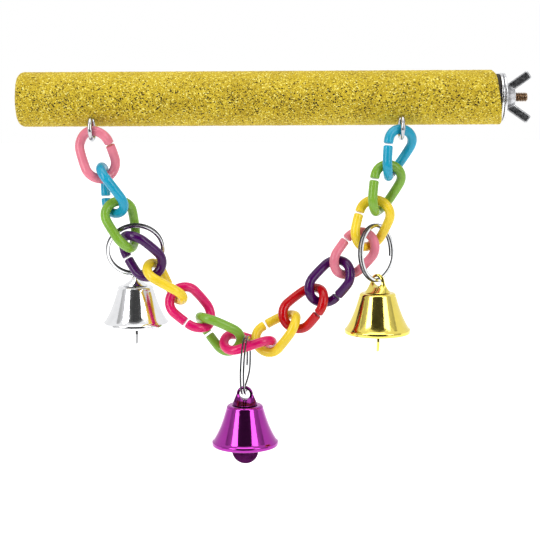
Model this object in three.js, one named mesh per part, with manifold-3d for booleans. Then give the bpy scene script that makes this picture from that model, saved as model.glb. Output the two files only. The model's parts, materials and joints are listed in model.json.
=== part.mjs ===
// A bolt-on cage perch: a sand-coated wooden bar that clamps to cage bars by a bolt and a wing nut,
// with a swag of twisted plastic links hung from two screw eyes and three bells on split rings.
// Millimetres, +Z up. The bar lies along X. The origin is the middle of the clamp plane,
// the outer face of the inner washer, and the bolt points along +X.
import * as THREE from "three";
import { mergeVertices } from "three/addons/utils/BufferGeometryUtils.js";
import Module from "manifold-3d";

// Clearances
const FIT_GAP = 0.3;
const LINK_GAP = 0.7;
const EYE_GAP = 0.55;
const RING_GAP = 0.3;

// Bar
const BAR_LENGTH = 200;
const BAR_DIAMETER = 22.3;
const COAT_THICKNESS = 1.2;
const FREE_END_ROUND = 2.9;
const CLAMP_END_ROUND = 1;
const BAR_FACETS = 32;
const FREE_END_STEPS = 4;
const CLAMP_END_STEPS = 2;

// Bolt, washers and wing nut
const BOLT_DIAMETER = 4;
const BOLT_REACH = 10.9;
const BOLT_IN_WOOD = 24;
const BOLT_POINT = 5;
const BOLT_CHAMFER = 0.5;
const WASHER_DIAMETER = 20;
const WASHER_THICKNESS = 1;
const WASHER_CHAMFER = 0.2;
const NUT_BASE_DIAMETER = 9.4;
const NUT_TOP_DIAMETER = 6.4;
const NUT_HEIGHT = 4.2;
const WING_LENGTH = 9;
const WING_WIDTH = 3.1;
const WING_THICKNESS = 1.8;
const WING_ANGLE = THREE.MathUtils.degToRad(35);
const WING_ROOT_RADIUS = 3.6;
const BOLT_FACETS = 16;
const WASHER_FACETS = 24;
const WING_END_STEPS = 6;

// Screw eyes
const LEFT_EYE_FROM_END = 31.8;
const EYE_SPACING = 127;
const EYE_WIRE = 1.9;
const EYE_LOOP_DIAMETER = 10.6;
const EYE_STAND_OFF = 0.35;
const EYE_SHANK_DEPTH = 9;
const EYE_LEAN = THREE.MathUtils.degToRad(45);
const EYE_TURN = THREE.MathUtils.degToRad(4);
const EYE_LOOP_START = THREE.MathUtils.degToRad(45);
const EYE_LOOP_END = THREE.MathUtils.degToRad(318);
const EYE_LOOP_POINTS = 12;
const EYE_STEPS = 26;
const EYE_SIDES = 8;
const SHANK_HOLE_FACETS = 12;

// Chain links
const LINK_LENGTH = 24.3;
const LINK_WIDTH = 16.8;
const LINK_WIRE = 4.1;
const LINK_TWIST = THREE.MathUtils.degToRad(30);
const LINK_SLIT = 0.9;
const SLIT_FROM_MIDDLE = 2.4;
const LINK_STEPS = 24;
const LINK_SIDES = 8;

// Where two links meet at an angle they ride apart by this many millimetres for each radian
const BEND_SLACK = 1.1;

// How the chain hangs: the weight of a link as a share of a bell with its ring
const LINK_TO_BELL_WEIGHT = 0.09;

// Split rings
const RING_DIAMETER = 24.7;
const RING_WIRE_WIDE = 1.9;
const RING_WIRE_THICK = 0.8;
const RING_TURN_GAP = 0.45;
const RING_JOGGLE = THREE.MathUtils.degToRad(32);
const RING_STEPS = 40;

// How a ring is lowered on to its links and leant back, and the spacing of points along a wire for this
const SEAT_STEP = 0.02;
const LEAN_STEP = THREE.MathUtils.degToRad(1);
const SEAT_SPACING = 0.5;

// Bells
const BELL_RIM_DIAMETER = 27.5;
const BELL_SHOULDER_DIAMETER = 14.5;
const BELL_HEIGHT = 17;
const BELL_WALL = 0.8;
const BELL_FACETS = 20;
const BELL_CREST = 2.2;
const BELL_LIP = 1.6;
const BELL_LIP_STEP = 0.9;
const BELL_STRAIGHT_SHARE = 0.85;
const BELL_CREST_STEPS = 2;
const BELL_FLARE_STEPS = 4;
const CROWN_BASE_DIAMETER = 10.5;
const CROWN_HEIGHT = 7.6;
const EYELET_HOLE = 4.4;
const EYELET_RIM = 1.2;
const EYELET_THICKNESS = 1.6;
const EYELET_GAP = 0.5;
const CROWN_STEPS = 5;
const CROWN_SIDES = 16;
const STEM_DIAMETER = 2.4;
const HOOK_DIAMETER = 5.6;
const HOOK_WIRE = 1.3;
const HOOK_STEPS = 14;
const HOOK_SIDES = 6;
const STEM_FACETS = 8;
const CLAPPER_BELOW_RIM = 8;
const CLAPPER_FOOT_WIDTH = 11;
const CLAPPER_NECK_WIDTH = 4.4;
const CLAPPER_THICKNESS = 1;
const CLAPPER_HOLE = 2.8;
const CLAPPER_GAP = 0.4;
const CLAPPER_END_STEPS = 5;

// Colours
const PALE_PINK = 0xe8829a;
const BLUE = 0x3caad2;
const GREEN = 0x82b43c;
const PURPLE = 0x4b196e;
const YELLOW = 0xf5d232;
const HOT_PINK = 0xeb286e;
const RED = 0xd71928;

// The links from left to right: colour, roll about the link's own length in degrees,
// and where its slit is: on the upper (1) or lower (-1) bar, towards the right (1) or left (-1) end
const LINKS = [
  { colour: PALE_PINK, roll: -2, slitBar: 1, slitEnd: -1 },
  { colour: BLUE, roll: 66, slitBar: -1, slitEnd: 1 },
  { colour: GREEN, roll: -46, slitBar: 1, slitEnd: 1 },
  { colour: PURPLE, roll: 24, slitBar: -1, slitEnd: -1 },
  { colour: YELLOW, roll: 89, slitBar: -1, slitEnd: 1 },
  { colour: HOT_PINK, roll: -26, slitBar: -1, slitEnd: 1 },
  { colour: GREEN, roll: 43, slitBar: -1, slitEnd: -1 },
  { colour: HOT_PINK, roll: -85, slitBar: 1, slitEnd: 1 },
  { colour: YELLOW, roll: -47, slitBar: 1, slitEnd: -1 },
  { colour: RED, roll: -28, slitBar: -1, slitEnd: 1 },
  { colour: PURPLE, roll: -10, slitBar: -1, slitEnd: -1 },
  { colour: PALE_PINK, roll: 2, slitBar: 1, slitEnd: 1 },
  { colour: YELLOW, roll: 13, slitBar: 1, slitEnd: 1 },
  { colour: GREEN, roll: 40, slitBar: 1, slitEnd: 1 },
  { colour: BLUE, roll: 50, slitBar: 1, slitEnd: 1 },
];

// The bells: the link that the ring goes through, the links that it comes to rest on and the links
// that hold its foot back
const BELLS = [
  { name: "left", finish: 0xd8d8dc, through: 3, on: [3, 4], against: [5] },
  { name: "middle", finish: 0xb832c8, through: 8, on: [8], against: [] },
  { name: "right", finish: 0xf0d23c, through: 13, on: [12, 13], against: [] },
];

// How each ring and bell hangs: where the top of the ring starts to the right of, behind and above
// the link's middle before it is lowered, as shares of a link's length, and in degrees the ring's
// turn about Z, its least lean with the foot backwards, and the turn of the bell's hook about Z
const HANGS = {
  left: { start: [0.205, 0.032, 0.03], turn: 8, lean: 20, hook: 0 },
  middle: { start: [-0.025, -0.4, 0.155], turn: 84, lean: 2, hook: 0 },
  right: { start: [0.061, 0.061, 0], turn: 52, lean: -4, hook: -52 },
};

const wasm = await Module();
wasm.setup();

// Solids

function toSolid(geometry) {
  const bare = geometry.clone();
  bare.deleteAttribute("normal");
  bare.deleteAttribute("uv");
  const merged = mergeVertices(bare, 1e-4);
  const vertProperties = new Float32Array(merged.attributes.position.array);
  const triVerts = new Uint32Array(merged.index.array);
  return new wasm.Manifold(new wasm.Mesh({ numProp: 3, vertProperties, triVerts }));
}

function toGeometry(solid) {
  const mesh = solid.getMesh();
  const geometry = new THREE.BufferGeometry();
  geometry.setAttribute("position", new THREE.BufferAttribute(mesh.vertProperties, 3));
  geometry.setIndex(new THREE.BufferAttribute(mesh.triVerts, 1));
  geometry.computeVertexNormals();
  return geometry;
}

function join(...geometries) {
  return toGeometry(geometries.map(toSolid).reduce((whole, piece) => whole.add(piece)));
}

function cut(geometry, ...tools) {
  return toGeometry(tools.map(toSolid).reduce((whole, tool) => whole.subtract(tool), toSolid(geometry)));
}

function node(name, geometry, colour, roughness, metalness) {
  const material = new THREE.MeshStandardMaterial({ color: colour, roughness, metalness });
  const mesh = new THREE.Mesh(geometry, material);
  mesh.name = name;
  return mesh;
}

// A revolved solid about X from [radius, x] pairs
function revolveX(pairs, facets) {
  const points = pairs.map(([radius, x]) => new THREE.Vector2(radius, x));
  return new THREE.LatheGeometry(points, facets).rotateZ(-Math.PI / 2);
}

// A revolved solid about Z from [radius, z] pairs
function revolveZ(pairs, facets) {
  const points = pairs.map(([radius, z]) => new THREE.Vector2(radius, z));
  return new THREE.LatheGeometry(points, facets).rotateX(Math.PI / 2);
}

function rodX(diameter, fromX, toX, facets) {
  const rod = new THREE.CylinderGeometry(diameter / 2, diameter / 2, toX - fromX, facets);
  return rod.rotateZ(-Math.PI / 2).translate((fromX + toX) / 2, 0, 0);
}

function rodZ(diameter, fromZ, toZ, facets) {
  const rod = new THREE.CylinderGeometry(diameter / 2, diameter / 2, toZ - fromZ, facets);
  return rod.rotateX(Math.PI / 2).translate(0, 0, (fromZ + toZ) / 2);
}

// Points of an arc in a revolved outline, about a [radius, x] centre, between two angles
function arc(centre, radius, fromAngle, toAngle, steps) {
  const pairs = [];
  for (let i = 0; i <= steps; i += 1) {
    const angle = fromAngle + ((toAngle - fromAngle) * i) / steps;
    pairs.push([centre[0] + radius * Math.cos(angle), centre[1] + radius * Math.sin(angle)]);
  }
  return pairs;
}

// A wire of round section along a curve, with flat ends
function wire(curve, diameter, steps, sides) {
  const section = new THREE.Shape().absarc(0, 0, diameter / 2, 0, 2 * Math.PI);
  const options = { steps, curveSegments: sides / 2, bevelEnabled: false, extrudePath: curve };
  return new THREE.ExtrudeGeometry(section, options);
}

// Clamp stack along X, with the clamp plane at x = 0
const INNER_WASHER_X = -WASHER_THICKNESS;
const BAR_END_X = INNER_WASHER_X - FIT_GAP;
const FREE_END_X = BAR_END_X - BAR_LENGTH;
const OUTER_WASHER_X = FIT_GAP;
const NUT_X = OUTER_WASHER_X + WASHER_THICKNESS + FIT_GAP;
const BAR_RADIUS = BAR_DIAMETER / 2;
const BORE_RADIUS = BAR_RADIUS - COAT_THICKNESS;
const EYE_X = [FREE_END_X + LEFT_EYE_FROM_END, FREE_END_X + LEFT_EYE_FROM_END + EYE_SPACING];
const EYE_LOOP_RADIUS = (EYE_LOOP_DIAMETER - EYE_WIRE) / 2;
const EYE_LOOP_CENTRE = BAR_RADIUS + EYE_STAND_OFF + EYE_WIRE / 2 + EYE_LOOP_RADIUS;

// Hole for a screw eye's shank, from the outside to past its point
function shankHole(x) {
  const end = FIT_GAP + EYE_SHANK_DEPTH - BAR_RADIUS;
  const hole = rodZ(EYE_WIRE + 2 * FIT_GAP, -BAR_DIAMETER, end, SHANK_HOLE_FACETS);
  return hole.rotateX(-EYE_LEAN).translate(x, 0, 0);
}

function sandCoat() {
  const freeCentre = [BAR_RADIUS - FREE_END_ROUND, FREE_END_X + FREE_END_ROUND];
  const corner = arc(freeCentre, FREE_END_ROUND, -Math.PI / 2, 0, FREE_END_STEPS);
  const clampCentre = [BAR_RADIUS - CLAMP_END_ROUND, BAR_END_X - CLAMP_END_ROUND];
  const edge = arc(clampCentre, CLAMP_END_ROUND, 0, Math.PI / 2, CLAMP_END_STEPS);
  const inside = [
    [BORE_RADIUS, BAR_END_X],
    [BORE_RADIUS, FREE_END_X + COAT_THICKNESS],
    [0, FREE_END_X + COAT_THICKNESS],
  ];
  const skin = revolveX([[0, FREE_END_X], ...corner, ...edge, ...inside], BAR_FACETS);
  return cut(skin, ...EYE_X.map(shankHole));
}

function dowelCore() {
  const radius = BORE_RADIUS - FIT_GAP;
  const left = FREE_END_X + COAT_THICKNESS + FIT_GAP;
  const dowel = rodX(2 * radius, left, BAR_END_X, BAR_FACETS);
  const boltHole = rodX(BOLT_DIAMETER + 2 * FIT_GAP, BAR_END_X - BOLT_IN_WOOD - FIT_GAP, 0, BOLT_FACETS);
  return cut(dowel, boltHole, ...EYE_X.map(shankHole));
}

function hangerBolt() {
  const radius = BOLT_DIAMETER / 2;
  const point = BAR_END_X - BOLT_IN_WOOD;
  const outline = [
    [0, point],
    [radius, point + BOLT_POINT],
    [radius, BOLT_REACH - BOLT_CHAMFER],
    [radius - BOLT_CHAMFER, BOLT_REACH],
    [0, BOLT_REACH],
  ];
  return revolveX(outline, BOLT_FACETS);
}

function washer(x) {
  const outer = WASHER_DIAMETER / 2;
  const inner = BOLT_DIAMETER / 2 + FIT_GAP;
  const outline = [
    [inner, x],
    [outer - WASHER_CHAMFER, x],
    [outer, x + WASHER_CHAMFER],
    [outer, x + WASHER_THICKNESS - WASHER_CHAMFER],
    [outer - WASHER_CHAMFER, x + WASHER_THICKNESS],
    [inner, x + WASHER_THICKNESS],
    [inner, x],
  ];
  return revolveX(outline, WASHER_FACETS);
}

// One wing: a slim bar with round ends that slopes away from the hub in the XZ plane
function wing(side) {
  const half = WING_WIDTH / 2;
  const outline = new THREE.Shape();
  outline.absarc(0, 0, half, Math.PI / 2, (3 * Math.PI) / 2);
  outline.absarc(WING_LENGTH, 0, half, -Math.PI / 2, Math.PI / 2);
  const options = { depth: WING_THICKNESS, curveSegments: WING_END_STEPS, bevelEnabled: false };
  const bar = new THREE.ExtrudeGeometry(outline, options);
  bar.translate(0, 0, -WING_THICKNESS / 2).rotateX(Math.PI / 2);
  bar.rotateY(-side * WING_ANGLE);
  return bar.translate(NUT_X + half, 0, side * WING_ROOT_RADIUS);
}

function wingNut() {
  const hub = [
    [0, NUT_X],
    [NUT_BASE_DIAMETER / 2, NUT_X],
    [NUT_TOP_DIAMETER / 2, NUT_X + NUT_HEIGHT],
    [0, NUT_X + NUT_HEIGHT],
  ];
  const blank = join(revolveX(hub, WASHER_FACETS), wing(1), wing(-1));
  return cut(blank, rodX(BOLT_DIAMETER + 2 * FIT_GAP, 0, 2 * BOLT_REACH, BOLT_FACETS));
}

// Screw eye: a straight shank, a neck and a loop that closes beside the neck,
// in its own YZ plane with the shank along Z and the loop below
function screwEye() {
  const points = [
    new THREE.Vector3(0, 0, EYE_SHANK_DEPTH - BAR_RADIUS),
    new THREE.Vector3(0, 0, EYE_SHANK_DEPTH / 2 - BAR_RADIUS),
    new THREE.Vector3(0, 0, -BAR_RADIUS),
    new THREE.Vector3(0, 0, -BAR_RADIUS - EYE_STAND_OFF),
  ];
  for (let i = 0; i <= EYE_LOOP_POINTS; i += 1) {
    const angle = EYE_LOOP_START + ((EYE_LOOP_END - EYE_LOOP_START) * i) / EYE_LOOP_POINTS;
    const y = EYE_LOOP_RADIUS * Math.sin(angle);
    points.push(new THREE.Vector3(0, y, EYE_LOOP_RADIUS * Math.cos(angle) - EYE_LOOP_CENTRE));
  }
  const curve = new THREE.CatmullRomCurve3(points, false, "centripetal");
  return wire(curve, EYE_WIRE, EYE_STEPS, EYE_SIDES);
}

// Chain, laid out in its own plane: x to the right, y up, z towards the viewer
const CHAIN_Y = -EYE_LOOP_CENTRE * Math.sin(EYE_LEAN);
const EYE_SEAT_Z = -EYE_LOOP_CENTRE * Math.cos(EYE_LEAN) - EYE_LOOP_RADIUS;
const END_RADIUS = (LINK_WIDTH - LINK_WIRE) / 2;
const STRAIGHT = LINK_LENGTH - LINK_WIDTH;
const HALF_LENGTH = (LINK_LENGTH - LINK_WIRE) / 2;
const ROUND = 2 * STRAIGHT + 2 * Math.PI * END_RADIUS;

// The flat outline of a link's wire, from the middle of its upper bar towards its right end
function linkOutline(along) {
  const half = STRAIGHT / 2;
  const bend = Math.PI * END_RADIUS;
  const s = ((along % ROUND) + ROUND) % ROUND;
  if (s < half) {
    return [s, END_RADIUS];
  }
  if (s < half + bend) {
    const angle = (s - half) / END_RADIUS;
    return [half + END_RADIUS * Math.sin(angle), END_RADIUS * Math.cos(angle)];
  }
  if (s < 3 * half + bend) {
    return [2 * half + bend - s, -END_RADIUS];
  }
  if (s < 3 * half + 2 * bend) {
    const angle = (s - 3 * half - bend) / END_RADIUS;
    return [-half - END_RADIUS * Math.sin(angle), -END_RADIUS * Math.cos(angle)];
  }
  return [s - ROUND, END_RADIUS];
}

// The wire of a link: the flat outline twisted about the link's length, open at its slit
class LinkWire extends THREE.Curve {
  constructor(slitBar, slitEnd) {
    super();
    const slitMiddle = slitBar > 0 ? slitEnd * SLIT_FROM_MIDDLE : ROUND / 2 - slitEnd * SLIT_FROM_MIDDLE;
    this.start = slitMiddle + LINK_SLIT / 2;
    this.run = ROUND - LINK_SLIT;
  }

  getPoint(t, target = new THREE.Vector3()) {
    const [x, y] = linkOutline(this.start + t * this.run);
    const twist = (-LINK_TWIST * x) / HALF_LENGTH;
    return target.set(x, y * Math.cos(twist), y * Math.sin(twist));
  }
}

// The vertical pull in a link: half the loads that hang between it and its mirror twin
function verticalPull(index) {
  const middle = (LINKS.length - 1) / 2;
  const steps = middle - index;
  const inside = BELLS.filter((bell) => Math.abs(bell.through - 1 - middle) < Math.abs(steps) + 0.5);
  const carried = steps === 0 ? 0 : inside.length / 2;
  return Math.sign(steps) * carried + steps * LINK_TO_BELL_WEIGHT;
}

// Each link's slope for a level pull
function slopesFor(levelPull) {
  return LINKS.map((link, index) => -Math.atan2(verticalPull(index), levelPull));
}

// How far a link reaches past each point where it bears on its neighbour or on a screw eye
function overhangs(slopes) {
  const between = slopes.slice(1).map((slope, index) => {
    return (LINK_WIRE + LINK_GAP) / 2 + BEND_SLACK * Math.abs(slope - slopes[index]);
  });
  const atEye = (LINK_WIRE + EYE_WIRE) / 2 + EYE_GAP;
  return [atEye, ...between, atEye];
}

// The distance between the two points where a link bears
function bearingLength(over, index) {
  return 2 * HALF_LENGTH - over[index] - over[index + 1];
}

function spanOf(slopes) {
  const over = overhangs(slopes);
  return slopes.reduce((sum, slope, index) => sum + bearingLength(over, index) * Math.cos(slope), 0);
}

// The slopes at the level pull for which the hanging chain just reaches from eye to eye
function hangingSlopes() {
  let low = 0.001;
  let high = 100;
  for (let i = 0; i < 60; i += 1) {
    const middle = (low + high) / 2;
    if (spanOf(slopesFor(middle)) < EYE_SPACING) {
      low = middle;
    } else {
      high = middle;
    }
  }
  return slopesFor(high);
}

// Every link's middle, slope and roll
function hangLinks() {
  const slopes = hangingSlopes();
  const over = overhangs(slopes);
  const bearing = new THREE.Vector2(EYE_X[0], EYE_SEAT_Z);
  return LINKS.map((link, index) => {
    const slope = slopes[index];
    const along = new THREE.Vector2(Math.cos(slope), Math.sin(slope));
    const middle = bearing.clone().addScaledVector(along, HALF_LENGTH - over[index]);
    bearing.addScaledVector(along, bearingLength(over, index));
    return { ...link, slope, middle, roll: THREE.MathUtils.degToRad(link.roll) };
  });
}

function chainLink(link, index) {
  const geometry = wire(new LinkWire(link.slitBar, link.slitEnd), LINK_WIRE, LINK_STEPS, LINK_SIDES);
  const mesh = node(`link_${String(index + 1).padStart(2, "0")}`, geometry, link.colour, 0.35, 0);
  mesh.position.set(link.middle.x, link.middle.y, 0);
  mesh.rotation.set(link.roll, 0, link.slope, "ZYX");
  return mesh;
}

// Split ring: two flat turns of one wire, about Y, with a joggle from one turn to the other
// that lies between the wire's two ends
const RING_RADIUS = (RING_DIAMETER - RING_WIRE_WIDE) / 2;
const RING_TURN_STEP = RING_WIRE_THICK + RING_TURN_GAP;
const RING_HALF = (RING_TURN_STEP + RING_WIRE_THICK) / 2;
const SEAT_DISTANCE = LINK_WIRE / 2 + RING_HALF + RING_GAP;

class RingWire extends THREE.Curve {
  getPoint(t, target = new THREE.Vector3()) {
    const start = RING_JOGGLE;
    const angle = start + t * (4 * Math.PI - 2 * start);
    const rise = THREE.MathUtils.smoothstep(angle, 2 * Math.PI - RING_JOGGLE, 2 * Math.PI + RING_JOGGLE);
    const place = angle - Math.PI / 4;
    const y = (rise - 0.5) * RING_TURN_STEP;
    return target.set(RING_RADIUS * Math.cos(place), RING_RADIUS * Math.sin(place), y);
  }
}

function splitRing() {
  const wide = RING_WIRE_WIDE / 2;
  const thick = RING_WIRE_THICK / 2;
  const section = new THREE.Shape();
  section.moveTo(thick, -wide / 2);
  section.lineTo(thick, wide / 2);
  section.lineTo(0, wide);
  section.lineTo(-thick, wide / 2);
  section.lineTo(-thick, -wide / 2);
  section.lineTo(0, -wide);
  const options = { steps: RING_STEPS, bevelEnabled: false, extrudePath: new RingWire() };
  return new THREE.ExtrudeGeometry(section, options).rotateX(Math.PI / 2);
}

// The least distance between two lists of points
function leastDistance(some, others) {
  let least = Infinity;
  some.forEach((a) => others.forEach((b) => {
    least = Math.min(least, a.distanceTo(b));
  }));
  return least;
}

// The least gap between the two turns of a ring, on points along the middle of its wire:
// points half a turn or more apart along the wire are on different turns or across the ring
function ringTurnGap() {
  const count = 400;
  const points = new RingWire().getPoints(count);
  const halfTurn = count / 4;
  const gaps = points.slice(halfTurn).map((point, index) => {
    return leastDistance([point], points.slice(0, index + 1));
  });
  return Math.min(...gaps) - RING_WIRE_THICK;
}

// Bell, hung with its ring's wire at the origin and its eyelet's hole along X
const HOLE_Z = RING_WIRE_WIDE / 2 + EYELET_GAP - EYELET_HOLE / 2;
const CROWN_TOP_Z = HOLE_Z + EYELET_HOLE / 2 + EYELET_RIM;
const CROWN_BASE_Z = CROWN_TOP_Z - CROWN_HEIGHT;
const SHELL_TOP_Z = CROWN_BASE_Z - FIT_GAP;
const RIM_Z = SHELL_TOP_Z - BELL_HEIGHT;
const HOOK_Z = SHELL_TOP_Z - BELL_WALL - HOOK_DIAMETER / 2 - FIT_GAP;
const CLAPPER_PIVOT_Z = HOOK_Z - HOOK_DIAMETER / 2 + HOOK_WIRE / 2;

// Half of the shell's outline from the top down, shrunk by a wall: shoulder, flare and lip
function bellOutline(wall) {
  const shoulder = BELL_SHOULDER_DIAMETER / 2 - wall;
  const rim = BELL_RIM_DIAMETER / 2 - wall;
  const flareTop = SHELL_TOP_Z - BELL_CREST;
  const flareEnd = RIM_Z + BELL_LIP;
  const crest = BELL_CREST - wall;
  const flare = rim - BELL_LIP_STEP - shoulder;
  const pairs = arc([shoulder - crest, flareTop], crest, Math.PI / 2, 0, BELL_CREST_STEPS);
  for (let i = 1; i <= BELL_FLARE_STEPS; i += 1) {
    const share = i / BELL_FLARE_STEPS;
    const swell = BELL_STRAIGHT_SHARE * share + (1 - BELL_STRAIGHT_SHARE) * share ** 3;
    pairs.push([shoulder + flare * swell, flareTop + (flareEnd - flareTop) * share]);
  }
  pairs.push([rim, RIM_Z + BELL_LIP / 2]);
  pairs.push([rim, RIM_Z]);
  return pairs;
}

function bellShell() {
  const outside = bellOutline(0);
  const inside = bellOutline(BELL_WALL).reverse();
  const hole = STEM_DIAMETER / 2 + FIT_GAP;
  const top = [hole, SHELL_TOP_Z];
  const under = [hole, SHELL_TOP_Z - BELL_WALL];
  const loop = [top, ...outside, ...inside, under, top];
  return revolveZ(loop.reverse(), BELL_FACETS);
}

// A ring's directions: along its horizontal diameter, and down its steepest one
function ringFrame(turn, lean) {
  const across = new THREE.Vector3(Math.cos(turn), Math.sin(turn), 0);
  const back = new THREE.Vector3(-Math.sin(turn), Math.cos(turn), 0);
  const down = new THREE.Vector3(0, 0, -Math.cos(lean)).addScaledVector(back, Math.sin(lean));
  return { across, down };
}

// Points along the middle of a ring's wire
function ringPoints(middle, { across, down }) {
  const count = Math.ceil((2 * Math.PI * RING_RADIUS) / SEAT_SPACING);
  const points = [];
  for (let i = 0; i < count; i += 1) {
    const angle = (2 * Math.PI * i) / count;
    const point = middle.clone().addScaledVector(across, RING_RADIUS * Math.sin(angle));
    points.push(point.addScaledVector(down, -RING_RADIUS * Math.cos(angle)));
  }
  return points;
}

// Points along the middle of a hung link's wire
function linkPoints(link) {
  const place = new THREE.Euler(link.roll, 0, link.slope, "ZYX");
  const count = Math.ceil(ROUND / SEAT_SPACING);
  return new LinkWire(link.slitBar, link.slitEnd).getPoints(count).map((point) => {
    point.applyEuler(place).add(new THREE.Vector3(link.middle.x, link.middle.y, 0));
    return new THREE.Vector3(point.x, CHAIN_Y - point.z, point.y);
  });
}

// The middle of a ring with this lean, lowered from its start until it rests on its links
function lowerRing(top, frame, wires) {
  const middle = top.clone().addScaledVector(frame.down, RING_RADIUS);
  while (leastDistance(ringPoints(middle, frame), wires) > SEAT_DISTANCE) {
    middle.z -= SEAT_STEP;
  }
  return middle;
}

// Where a ring comes to rest: its lean grows until its foot clears the links that hold it back
function seatRing(bell, links) {
  const hang = HANGS[bell.name];
  const through = links[bell.through - 1].middle;
  const top = new THREE.Vector3(through.x, CHAIN_Y, through.y);
  top.addScaledVector(new THREE.Vector3(...hang.start), LINK_LENGTH);
  const wiresOf = (numbers) => numbers.flatMap((number) => linkPoints(links[number - 1]));
  const under = wiresOf(bell.on);
  const behind = wiresOf(bell.against);
  const turn = THREE.MathUtils.degToRad(hang.turn);
  let lean = THREE.MathUtils.degToRad(hang.lean);
  let frame = ringFrame(turn, lean);
  let middle = lowerRing(top, frame, under);
  while (leastDistance(ringPoints(middle, frame), behind) < SEAT_DISTANCE) {
    lean += LEAN_STEP;
    frame = ringFrame(turn, lean);
    middle = lowerRing(top, frame, under);
  }
  return { middle, turn, lean, down: frame.down };
}

// The pinched cone of a bell's crown, from a round foot to a flat tip
function crownCone(tipWide) {
  const foot = CROWN_BASE_DIAMETER / 2;
  const positions = [];
  const index = [];
  for (let i = 0; i <= CROWN_STEPS; i += 1) {
    const share = i / CROWN_STEPS;
    const pinch = Math.sin((share * Math.PI) / 2);
    const wide = foot + (tipWide - foot) * share;
    const thick = foot + (EYELET_THICKNESS / 2 - foot) * pinch;
    const z = CROWN_BASE_Z + (HOLE_Z - CROWN_BASE_Z) * share;
    for (let k = 0; k < CROWN_SIDES; k += 1) {
      const angle = (2 * Math.PI * k) / CROWN_SIDES;
      positions.push(thick * Math.cos(angle), wide * Math.sin(angle), z);
    }
  }
  const footMiddle = positions.length / 3;
  const tipMiddle = footMiddle + 1;
  const tipRow = CROWN_STEPS * CROWN_SIDES;
  positions.push(0, 0, CROWN_BASE_Z, 0, 0, HOLE_Z);
  for (let k = 0; k < CROWN_SIDES; k += 1) {
    const next = (k + 1) % CROWN_SIDES;
    for (let row = 0; row < tipRow; row += CROWN_SIDES) {
      const above = row + CROWN_SIDES;
      index.push(row + k, row + next, above + k, row + next, above + next, above + k);
    }
    index.push(footMiddle, next, k);
    index.push(tipMiddle, tipRow + k, tipRow + next);
  }
  const cone = new THREE.BufferGeometry();
  cone.setAttribute("position", new THREE.Float32BufferAttribute(positions, 3));
  cone.setIndex(index);
  return cone;
}

// A short round bar along X through the middle of the eyelet
function eyeletBar(radius, length) {
  const bar = new THREE.CylinderGeometry(radius, radius, length, CROWN_SIDES);
  return bar.rotateZ(Math.PI / 2).translate(0, 0, HOLE_Z);
}

// The cap on a bell: the pinched cone and its eyelet, the stem through the shell's top
// and the hook inside that carries the clapper
function bellCrown(hookTurn) {
  const tipWide = EYELET_HOLE / 2 + EYELET_RIM;
  const eyelet = eyeletBar(tipWide, EYELET_THICKNESS);
  const hole = eyeletBar(EYELET_HOLE / 2, CROWN_BASE_DIAMETER);
  const stemFoot = HOOK_Z + HOOK_DIAMETER / 2 - HOOK_WIRE;
  const stem = rodZ(STEM_DIAMETER, stemFoot, CROWN_BASE_Z + STEM_DIAMETER / 2, STEM_FACETS);
  const hookRadius = (HOOK_DIAMETER - HOOK_WIRE) / 2;
  const hook = new THREE.TorusGeometry(hookRadius, HOOK_WIRE / 2, HOOK_SIDES, HOOK_STEPS);
  hook.rotateX(Math.PI / 2).rotateZ(hookTurn).translate(0, 0, HOOK_Z);
  return cut(join(crownCone(tipWide), eyelet, stem, hook), hole);
}

// A flat clapper in its own YZ plane, hung with the hook's wire at the origin:
// a narrow neck with a hole, straight sides that widen, and a round foot
function clapper() {
  const holeZ = HOOK_WIRE / 2 + CLAPPER_GAP - CLAPPER_HOLE / 2;
  const neck = CLAPPER_NECK_WIDTH / 2;
  const foot = CLAPPER_FOOT_WIDTH / 2;
  const footZ = RIM_Z - CLAPPER_BELOW_RIM + foot - CLAPPER_PIVOT_Z;
  const outline = new THREE.Shape();
  outline.absarc(0, holeZ, neck, 0, Math.PI);
  outline.absarc(0, footZ, foot, Math.PI, 2 * Math.PI);
  const hole = new THREE.Path().absarc(0, holeZ, CLAPPER_HOLE / 2, 0, 2 * Math.PI);
  outline.holes.push(hole);
  const options = { depth: CLAPPER_THICKNESS, curveSegments: CLAPPER_END_STEPS, bevelEnabled: false };
  const plate = new THREE.ExtrudeGeometry(outline, options).translate(0, 0, -CLAPPER_THICKNESS / 2);
  return plate.rotateX(Math.PI / 2).rotateZ(Math.PI / 2);
}

const group = new THREE.Group();

const perch = new THREE.Group();
perch.add(node("sand_coat", sandCoat(), 0xd6ba32, 0.95, 0));
perch.add(node("dowel_core", dowelCore(), 0xc9a36b, 0.8, 0));
perch.add(node("hanger_bolt", hangerBolt(), 0x8a7a60, 0.35, 1));
perch.add(node("inner_washer", washer(INNER_WASHER_X), 0xb8bcc0, 0.3, 1));
perch.add(node("outer_washer", washer(OUTER_WASHER_X), 0xb8bcc0, 0.3, 1));
perch.add(node("wing_nut", wingNut(), 0x8c9094, 0.5, 1));
EYE_X.forEach((x, index) => {
  const left = index === 0;
  const eye = node(`${left ? "left" : "right"}_screw_eye`, screwEye(), 0xc4c6c8, 0.25, 1);
  eye.position.x = x;
  eye.rotation.set(-EYE_LEAN, 0, left ? -EYE_TURN : EYE_TURN);
  perch.add(eye);
});
group.add(perch);

const chain = new THREE.Group();
chain.position.y = CHAIN_Y;
chain.rotation.x = Math.PI / 2;
const links = hangLinks();
links.forEach((link, index) => chain.add(chainLink(link, index)));
group.add(chain);

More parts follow.
